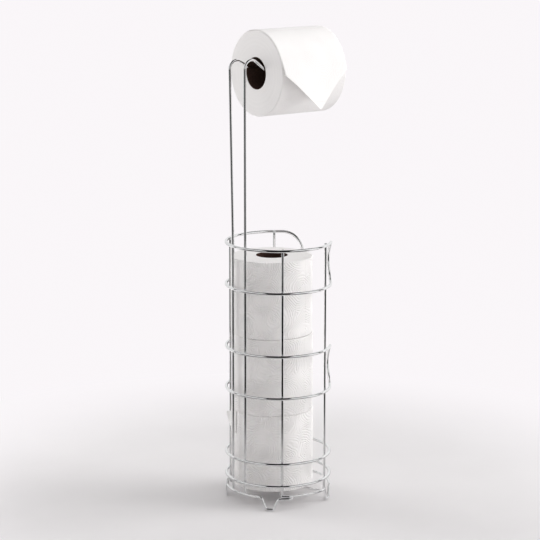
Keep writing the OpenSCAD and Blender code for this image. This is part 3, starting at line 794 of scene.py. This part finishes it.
# Stage, light and camera
CAM_A = math.radians(CAMERA_AZIMUTH)
TOWARDS = Vector((math.sin(CAM_A), -math.cos(CAM_A), 0))
RIGHT = Vector((math.cos(CAM_A), math.sin(CAM_A), 0))

PALE = (0.955, 0.925, 0.945)
# Between these distances from the axis, in metres, the floor runs into the backdrop
FADE_FROM, FADE_TO = 0.28, 0.66


def heading(azimuth):
    """Level direction at an azimuth in degrees, from the camera's side towards its right."""
    a = math.radians(azimuth)
    return math.cos(a) * TOWARDS + math.sin(a) * RIGHT


def stage_object(name, points, faces, material, shown=True):
    """A piece of the studio. Where it isn't shown, only reflections see it."""
    mesh = bpy.data.meshes.new(name)
    mesh.from_pydata([tuple(p) for p in points], [], faces)
    mesh.materials.append(material)
    obj = bpy.data.objects.new(name, mesh)
    bpy.context.scene.collection.objects.link(obj)
    if not shown:
        obj.visible_camera = obj.visible_diffuse = obj.visible_transmission = False
        obj.visible_shadow = obj.visible_volume_scatter = False
    return obj


def floor():
    n = Nodes(bpy.data.materials.new("floor_paint"))
    place = n.add("TexCoord").outputs["Object"]
    fade = n.add("MapRange", {"Value": n.from_axis(place), "From Min": FADE_FROM, "From Max": FADE_TO},
                 interpolation_type="SMOOTHSTEP")
    grain = n.noise(place, 9.0, 3.0)
    tone = n.ramp(grain, [(0.3, (0.732, 0.717, 0.722)), (0.7, (0.752, 0.737, 0.742))])
    paint = n.add("BsdfPrincipled", {"Base Color": tone, "Roughness": 0.6, "Specular IOR Level": 0.1})
    # The floor runs into the backdrop's pale colour, which only the camera sees
    pale = n.add("Emission", {"Color": (*PALE, 1), "Strength": 1.0})
    seen = n.math("MULTIPLY", fade.outputs[0], n.add("LightPath").outputs["Is Camera Ray"])
    material = n.done(n.add("MixShader", {0: seen, 1: paint.outputs[0], 2: pale.outputs[0]}).outputs[0])
    ring = [(math.cos(a), math.sin(a), 0) for a in np.linspace(0, 2 * math.pi, 97)[:-1]]
    stage_object("floor", ring, [tuple(range(96))], material)


def dark_room():
    """Painted shade that only polished wire shows: the unlit side of the studio towards the camera, and the
    floor close by.
    """
    n = Nodes(bpy.data.materials.new("unlit_room"))
    amount = n.add("Attribute", attribute_name="amount").outputs["Fac"]
    tone = n.add("Attribute", attribute_name="tone").outputs["Color"]
    glow = n.add("Emission", {"Color": tone, "Strength": 1.0})
    clear = n.add("BsdfTransparent")
    material = n.done(n.add("MixShader", {0: amount, 1: clear.outputs[0], 2: glow.outputs[0]}).outputs[0])

    def card(name, spots, faces, amounts, tones):
        obj = stage_object(name, spots, faces, material, shown=False)
        a = obj.data.attributes.new("amount", "FLOAT", "POINT")
        a.data.foreach_set("value", amounts)
        c = obj.data.attributes.new("tone", "FLOAT_COLOR", "POINT")
        c.data.foreach_set("color", [x for t in tones for x in (t, t, t, 1.0)])

    def smooth(x):
        x = min(1.0, max(0.0, x))
        return x * x * (3 - 2 * x)

    # The floor: painted shade close by, and dark further out on the camera's side
    radii = [0.08, 0.12, 0.16, 0.2, 0.26, 0.32, 0.4, 0.48, 0.6, 0.9,
             1.2, 1.35, 1.5, 1.65, 1.8, 2.0, 2.5, 4.5, 7.0]
    turns = np.linspace(-180, 180, 73)
    spots, amounts, tones = [], [], []
    for r in radii:
        for d in turns:
            spots.append(tuple(r * heading(d) + Vector((0, 0, 0.002))))
            near = 0.35 * smooth((0.5 - r) / 0.2)
            out = smooth((r - 0.12) / 0.42) * smooth((d + 92) / 12) * smooth((72 - d) / 8)
            amounts.append(max(near, out))
            tones.append(0.003 + 0.16 * smooth((r - 1.2) / 0.75))
    wide = len(turns)
    faces = [(i * wide + k, (i + 1) * wide + k, (i + 1) * wide + k + 1, i * wide + k + 1)
             for i in range(len(radii) - 1) for k in range(wide - 1)]
    card("far_floor_card", spots, faces, amounts, tones)

    def upright(name, azimuth, half, top):
        """A dark strip of a half width in metres that climbs from the floor to top degrees."""
        way = heading(azimuth)
        across, up, spots = Vector((way.y, -way.x, 0)), Vector((0, 0, 1)), []
        climbs = np.radians(np.linspace(0.4, top, 31))
        for e in climbs:
            spots += [tuple(1.6 * (math.cos(e) * way + math.sin(e) * up) + w * across) for w in (-half, half)]
        faces = grid_faces(len(climbs), 2, wrap_columns=False)
        card(name, spots, faces, [1.0] * len(spots), [0.002] * len(spots))

    upright("camera_card", 0, 0.68, 118)
    upright("right_card", 102, 0.2, 75)
    upright("left_card", -104, 0.11, 60)


def lamp(name, azimuth, elevation, distance, size, power, target=(0, 0, 0.3)):
    """A soft white lamp that shines at a target, from an azimuth and elevation in degrees as seen there."""
    data = bpy.data.lights.new(name, "AREA")
    data.shape, data.size, data.size_y = "RECTANGLE", size[0], size[1]
    data.energy = power
    obj = bpy.data.objects.new(name, data)
    e = math.radians(elevation)
    way = math.cos(e) * heading(azimuth) + Vector((0, 0, math.sin(e)))
    obj.location = Vector(target) + way * distance
    obj.rotation_mode = "QUATERNION"
    obj.rotation_quaternion = way.to_track_quat("Z", "Y")
    obj.visible_glossy = False
    bpy.context.scene.collection.objects.link(obj)


def light_and_world():
    lamp("window", 92, 24, 2.4, (1.7, 1.5), 42.5)
    lamp("overhead", 40, 82, 2.2, (1.6, 1.6), 9.0)
    lamp("reflector", -115, 8, 1.2, (0.7, 0.7), 7.0, target=(0, 0, 0.34))
    world = bpy.context.scene.world or bpy.data.worlds.new("studio")
    bpy.context.scene.world = world
    n = Nodes(world)
    path = n.add("LightPath").outputs
    pale = n.add("Background", {"Color": (*PALE, 1), "Strength": 1.0})
    way = n.add("TexCoord").outputs["Generated"]
    height = n.math("MULTIPLY_ADD", n.parts(way)[2], 0.5, 0.5)
    # The pale floor and walls light from all round and from below more than the ceiling does
    glow = n.add("MapRange", {"Value": height, "From Min": 0.42, "From Max": 0.60,
                              "To Min": 0.86, "To Max": 0.50})
    soft = n.add("Background", {"Color": (1.0, 0.985, 0.985, 1), "Strength": glow.outputs[0]})
    # Polished wire sees the same pale wall, which falls off towards the ceiling and away from the window
    band = n.ramp(height, [(spot, (tone,) * 3) for spot, tone in (
        (0.25, 0.30), (0.42, 0.92), (0.87, 0.92), (0.935, 0.05), (0.99, 0.02))])
    side = n.add("VectorMath", {0: way, 1: tuple(RIGHT)}, operation="DOT_PRODUCT").outputs["Value"]
    lit = n.math("MULTIPLY_ADD", side, 0.12, 0.92)
    wall = n.add("Background", {"Color": band, "Strength": lit})
    shiny = n.math("MAXIMUM", path["Is Glossy Ray"], path["Is Transmission Ray"])
    behind = n.add("MixShader", {0: shiny, 1: soft.outputs[0], 2: wall.outputs[0]})
    seen = n.add("MixShader", {0: path["Is Camera Ray"], 1: behind.outputs[0], 2: pale.outputs[0]})
    n.done(seen.outputs[0])


def camera():
    data = bpy.data.cameras.new("camera")
    data.sensor_width, data.lens = CAMERA_SENSOR, CAMERA_FOCAL
    data.clip_start, data.clip_end = 0.05, 50
    obj = bpy.data.objects.new("camera", data)
    yaw, pitch, roll = (math.radians(x) for x in (CAMERA_YAW, CAMERA_PITCH, CAMERA_ROLL))
    side = RIGHT * math.cos(yaw) + TOWARDS * math.sin(yaw)
    ahead = -TOWARDS * math.cos(yaw) + RIGHT * math.sin(yaw)
    up = ahead * math.sin(pitch) + Vector((0, 0, math.cos(pitch)))
    look = ahead * math.cos(pitch) - Vector((0, 0, math.sin(pitch)))
    side, up = side * math.cos(roll) + up * math.sin(roll), up * math.cos(roll) - side * math.sin(roll)
    spin = Matrix((side, up, -look)).transposed().to_4x4()
    obj.matrix_world = Matrix.Translation(TOWARDS * CAMERA_DISTANCE + Vector((0, 0, CAMERA_HEIGHT))) @ spin
    bpy.context.scene.collection.objects.link(obj)
    bpy.context.scene.camera = obj


floor()
dark_room()
light_and_world()
camera()
bpy.context.scene.view_settings.view_transform = "Standard"
